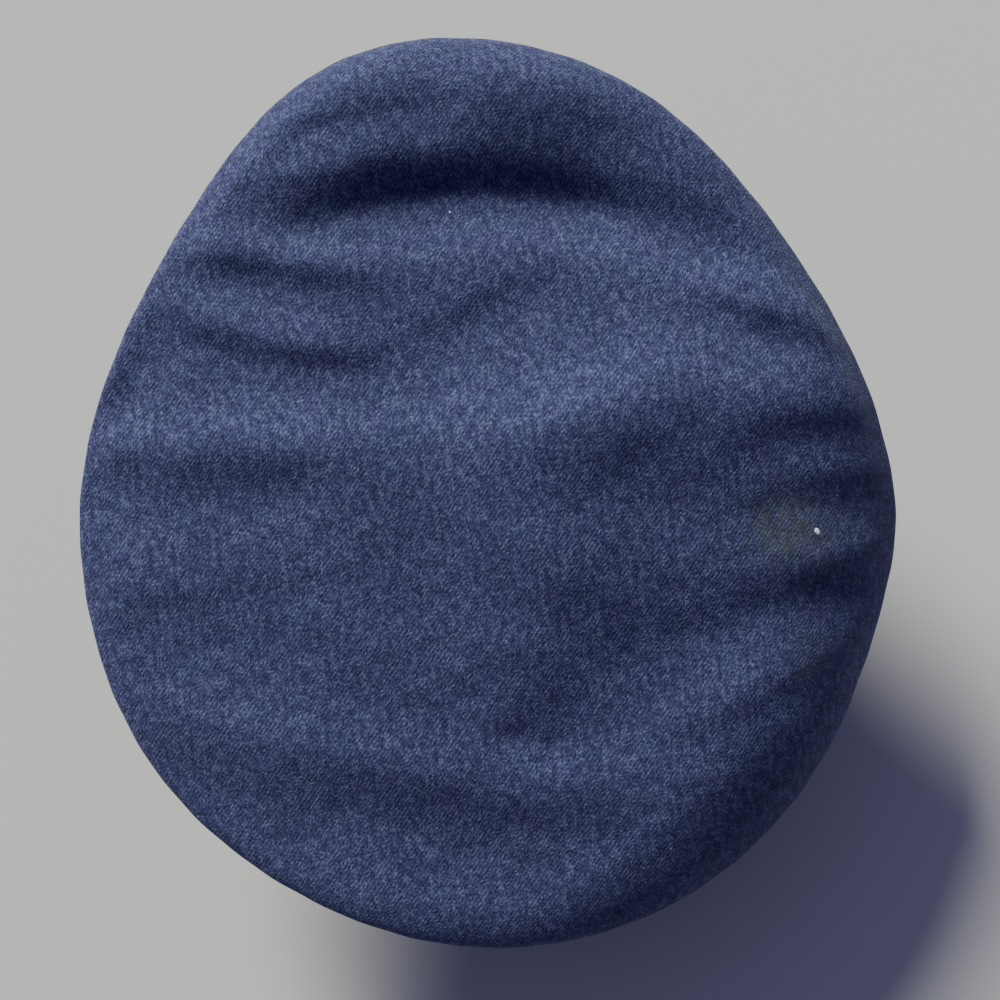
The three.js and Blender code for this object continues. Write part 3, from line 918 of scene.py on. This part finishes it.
# The stitches follow the rolled edge at an even pitch, so their line is first walked in small steps.
black_thread = thread_material("black_thread", *BLACK_THREAD)
angles = np.linspace(-PEAK_STITCH_SPREAD, PEAK_STITCH_SPREAD, PEAK_STITCH_STEPS)
line_u = (angles / PEAK_SPREAD + 1) / 2
line_v = 1 - (PEAK_ROLL + PEAK_STITCH_INSET) / peak_reach(angles)[0]
line = stand(peak_point(line_u, line_v, PEAK_THICKNESS))
walked = np.append(0, np.cumsum(np.linalg.norm(np.diff(line, axis=0), axis=1)))
stops = np.arange(PEAK_STITCH_PITCH, walked[-1], PEAK_STITCH_PITCH)
places = np.stack([np.interp(stops, walked, line[:, axis]) for axis in range(3)], -1)
_, _, _, outward = surface_frame(
    peak_point, np.interp(stops, walked, line_u), np.interp(stops, walked, line_v), PEAK_THICKNESS
)
alongs = np.gradient(places, axis=0)
upward = outward * np.sign(outward[:, 2:])
peak_stitches = lay_stitches("peak_stitches", places, alongs, upward, PEAK_STITCH, black_thread)
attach(peak_stitches, "root")

# Chin strap
# A narrow strap of smooth black leather that lies along the front of the band above the peak, with a
# row of stitches along each edge. Its rounded ends lie under the two buttons.
STRAP_GRID = (220, 14)
STRAP_LENGTH = 0.27
STRAP_WIDTH = 0.013
STRAP_THICKNESS = 0.0018
STRAP_CROWN = 0.0003
STRAP_EDGE_ROUND = 0.0004
STRAP_CENTRE_HEIGHT = 0.0115
STRAP_SPREAD = radians(80)
STRAP_END_WIDTH = 0.005
STRAP_END_SHARE = 0.03
STRAP_STITCH = {"Length": 0.0021, "Width": 0.0005, "Height": 0.0004}
STRAP_STITCH_PITCH = 0.0028
STRAP_STITCH_EDGE = 0.0016
STRAP_STITCH_MARGIN = 0.05
STRAP_DARK = (0.006, 0.005, 0.009)
STRAP_LIGHT = (0.017, 0.0135, 0.022)


def strap_point(u, v, depth):
    """The strap is a little crowned, and narrows to a rounded end under each button."""
    angle = STRAP_SPREAD * (2 * u - 1)
    crown = STRAP_CROWN * (1 - (2 * v - 1) ** 4)
    outside = STRAP_THICKNESS - STRAP_CROWN + crown
    x, y = oval_point(BAND_OVAL, angle, FIT_GAP + (outside if depth == 0 else 0.0))
    from_end = np.minimum(np.minimum(u, 1 - u) / STRAP_END_SHARE, 1)
    width = STRAP_END_WIDTH + (STRAP_WIDTH - STRAP_END_WIDTH) * np.sqrt(1 - (1 - from_end) ** 2)
    return points_at(x, y, STRAP_CENTRE_HEIGHT + (v - 0.5) * width)


strap_leather = leather_material("strap_leather", STRAP_DARK, STRAP_LIGHT, roughness=0.38, grain=1500)
strap_cut = strip_cut(STRAP_LENGTH, STRAP_WIDTH)
strap = build_wall(
    "chin_strap_leather", strap_point, strap_cut, STRAP_GRID, STRAP_THICKNESS, [strap_leather]
)
soften_edges(strap, STRAP_EDGE_ROUND)
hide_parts("chin_strap")
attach(strap, "root")

count = int(STRAP_LENGTH * (1 - 2 * STRAP_STITCH_MARGIN) / STRAP_STITCH_PITCH)
stops = np.linspace(STRAP_STITCH_MARGIN, 1 - STRAP_STITCH_MARGIN, count)
from_edge = STRAP_STITCH_EDGE / STRAP_WIDTH
stitch_u = np.tile(stops, 2)
stitch_v = np.repeat([from_edge, 1 - from_edge], count)
places, along, _, outward = surface_frame(strap_point, stitch_u, stitch_v, 0)
strap_stitches = lay_stitches("chin_strap_stitches", places, along, outward, STRAP_STITCH, black_thread)
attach(strap_stitches, "root")

# Buttons
# Two plain domed buttons of silver-coloured metal, pressed from sheet with a rolled rim. Each holds
# an end of the strap to the band.
BUTTON_ANGLE = radians(76)
BUTTON_SIDES = 64
BUTTON_RADIUS = 0.0075
BUTTON_HEIGHT = 0.005
BUTTON_RIM = 0.0006
BUTTON_RIM_TURN = 1.35 * pi
BUTTON_RIM_STEPS = 10
BUTTON_BACK_RING = 0.6
BUTTON_DOME_INSET = 0.75 * BUTTON_RIM
BUTTON_DOME_FOOT = 1.15 * BUTTON_RIM
BUTTON_DOME_STEPS = 14
BUTTON_BRIGHT = (0.62, 0.63, 0.64)
BUTTON_TARNISH = (0.36, 0.35, 0.33)


def button_profile():
    """Radius and height from the middle of the back, round the rolled rim, to the top of the dome."""
    rim_radius = BUTTON_RADIUS - BUTTON_RIM
    profile = [(0.0, 0.0), (rim_radius * BUTTON_BACK_RING, 0.0)]
    for step in range(BUTTON_RIM_STEPS + 1):
        turn = step / BUTTON_RIM_STEPS * BUTTON_RIM_TURN - pi / 2
        profile.append((rim_radius + BUTTON_RIM * cos(turn), BUTTON_RIM * (1 + sin(turn))))
    for step in range(BUTTON_DOME_STEPS):
        turn = step / BUTTON_DOME_STEPS * pi / 2
        radius = (rim_radius - BUTTON_DOME_INSET) * cos(turn)
        profile.append((radius, BUTTON_DOME_FOOT + (BUTTON_HEIGHT - BUTTON_DOME_FOOT) * sin(turn)))
    return [*profile, (0.0, BUTTON_HEIGHT)]


def metal_material():
    """Silver-coloured plated metal, a little tarnished, with fine rubbing marks."""
    material, tree, shader = new_material("button_metal", Metallic=1.0)
    place = object_place(tree)
    tarnish = noise(tree, place, scale=500, detail=4, roughness=0.6)
    marks = noise(tree, mapped(tree, place, scale=(1, 1, 9)), scale=900)
    colour = blend_colours(tree, stretch(tree, tarnish, 0.35, 0.75), BUTTON_BRIGHT, BUTTON_TARNISH)
    tree.links.new(colour, shader.inputs["Base Color"])
    tree.links.new(stretch(tree, marks, 0.3, 0.7, 0.20, 0.38), shader.inputs["Roughness"])
    raise_surface(tree, shader, tarnish, distance=0.00004, strength=0.5)
    return material


def build_button(node, angle):
    """Turns the profile about an axis that points straight out of the band."""
    step = radians(1)
    ahead, behind = (np.array(oval_point(BAND_OVAL, angle + turn)) for turn in (step, -step))
    along = np.append((ahead - behind) / np.linalg.norm(ahead - behind), 0.0)
    outward = np.array([along[1], -along[0], 0.0])
    upward = np.array([0.0, 0.0, 1.0])
    strap_x, strap_y = oval_point(BAND_OVAL, angle, FIT_GAP + STRAP_THICKNESS)
    seat = points_at(strap_x, strap_y, STRAP_CENTRE_HEIGHT) + outward * FIT_GAP
    turns = np.arange(BUTTON_SIDES)[:, None] / BUTTON_SIDES * 2 * pi
    spokes = np.cos(turns) * along + np.sin(turns) * upward
    rings = [seat + outward * height + radius * spokes for radius, height in button_profile()]
    row, side = np.mgrid[0 : len(rings) - 1, 0:BUTTON_SIDES]
    next_side = (side + 1) % BUTTON_SIDES
    corners = [row * BUTTON_SIDES + side, row * BUTTON_SIDES + next_side]
    corners += [(row + 1) * BUTTON_SIDES + next_side, (row + 1) * BUTTON_SIDES + side]
    faces = np.stack(corners, -1).reshape(-1, 4)
    mesh = bpy.data.meshes.new(node + "_metal")
    mesh.from_pydata(stand(np.concatenate(rings)).tolist(), [], faces.tolist())
    merge_points(mesh, face_out=True)
    mesh.materials.append(metal)
    button = add_piece(node + "_metal", mesh)
    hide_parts(node)
    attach(button, "root")


metal = metal_material()
build_button("strap_button_left", BUTTON_ANGLE)
build_button("strap_button_right", -BUTTON_ANGLE)

# Camera
# It looks straight down on the plane of the crown, with the front of the cap at the top of the
# picture and the cap turned a little to the left.
PICTURE_SIZE = 1000
PICTURE_CROWN_CENTRE = (486.6, 520.4)
PICTURE_ROLL = radians(5.27)
METRES_PER_PIXEL = 0.000311
FOCAL_PIXELS = 1900
SENSOR_WIDTH = 36.0

crown_lean = CROWN_SLOPE + REST_TILT
crown_normal = np.array([0, sin(crown_lean), cos(crown_lean)])
crown_front = np.array([0, -cos(crown_lean), sin(crown_lean)])
crown_right = np.array([-1.0, 0, 0])
picture_right = cos(PICTURE_ROLL) * crown_right - sin(PICTURE_ROLL) * crown_front
picture_up = sin(PICTURE_ROLL) * crown_right + cos(PICTURE_ROLL) * crown_front
aim = stand(CROWN_CENTRE) + METRES_PER_PIXEL * (
    (PICTURE_SIZE / 2 - PICTURE_CROWN_CENTRE[0]) * picture_right
    + (PICTURE_CROWN_CENTRE[1] - PICTURE_SIZE / 2) * picture_up
)
eye = aim + crown_normal * FOCAL_PIXELS * METRES_PER_PIXEL
camera_data = bpy.data.cameras.new("camera")
camera_data.sensor_width = SENSOR_WIDTH
camera_data.lens = FOCAL_PIXELS / PICTURE_SIZE * SENSOR_WIDTH
camera = add_object("camera", camera_data)
camera_axes = np.stack([picture_right, picture_up, crown_normal, eye], -1)
camera.matrix_world = Matrix([*camera_axes, (0, 0, 0, 1)])
bpy.context.scene.camera = camera

# Floor and light
# A plain pale floor, a large soft key light in front of the cap and to its left, and a weak sky that
# is brighter on the key's side.
FLOOR_HALF = 20.0
FLOOR_COLOUR = (0.54, 0.50, 0.577, 1)
FLOOR_ROUGHNESS = 0.8
KEY_HEIGHT = radians(21)
KEY_LEFT = radians(29)
KEY_SPREAD = radians(22)
KEY_STRENGTH = 6.6
KEY_COLOUR = (0.91, 1.0, 0.755)
SKY_COLOUR = (0.595, 0.605, 1.0, 1)
SKY_FRONT = 0.36
SKY_BACK = 0.075

floor_mesh = bpy.data.meshes.new("floor")
floor_corners = [(x * FLOOR_HALF, y * FLOOR_HALF, 0) for x, y in ((-1, -1), (1, -1), (1, 1), (-1, 1))]
floor_mesh.from_pydata(floor_corners, [], [(0, 1, 2, 3)])
floor_paint, _, _ = new_material("floor_paint", Base_Color=FLOOR_COLOUR, Roughness=FLOOR_ROUGHNESS)
floor_mesh.materials.append(floor_paint)
floor = add_object("floor", floor_mesh)

key_level = cos(KEY_LEFT) * picture_up - sin(KEY_LEFT) * picture_right
key_way = cos(KEY_HEIGHT) * key_level + sin(KEY_HEIGHT) * crown_normal
key_data = bpy.data.lights.new("key", "SUN")
key_data.angle = KEY_SPREAD
key_data.energy = KEY_STRENGTH
key_data.color = KEY_COLOUR
key = add_object("key", key_data)
key.rotation_euler = Vector(key_way).to_track_quat("Z", "Y").to_euler()

world = bpy.data.worlds.new("studio")
bpy.context.scene.world = world
world.use_nodes = True
sky_tree = world.node_tree
sky = sky_tree.nodes["Background"].inputs
sky["Color"].default_value = SKY_COLOUR
sky_way = add_node(sky_tree, "ShaderNodeTexCoord").outputs["Generated"]
inputs = {0: sky_way, 1: tuple(key_level)}
to_key = add_node(sky_tree, "ShaderNodeVectorMath", inputs, operation="DOT_PRODUCT").outputs["Value"]
sky_strength = stretch(sky_tree, to_key, -1, 1, SKY_BACK, SKY_FRONT)
sky_tree.links.new(sky_strength, sky["Strength"])
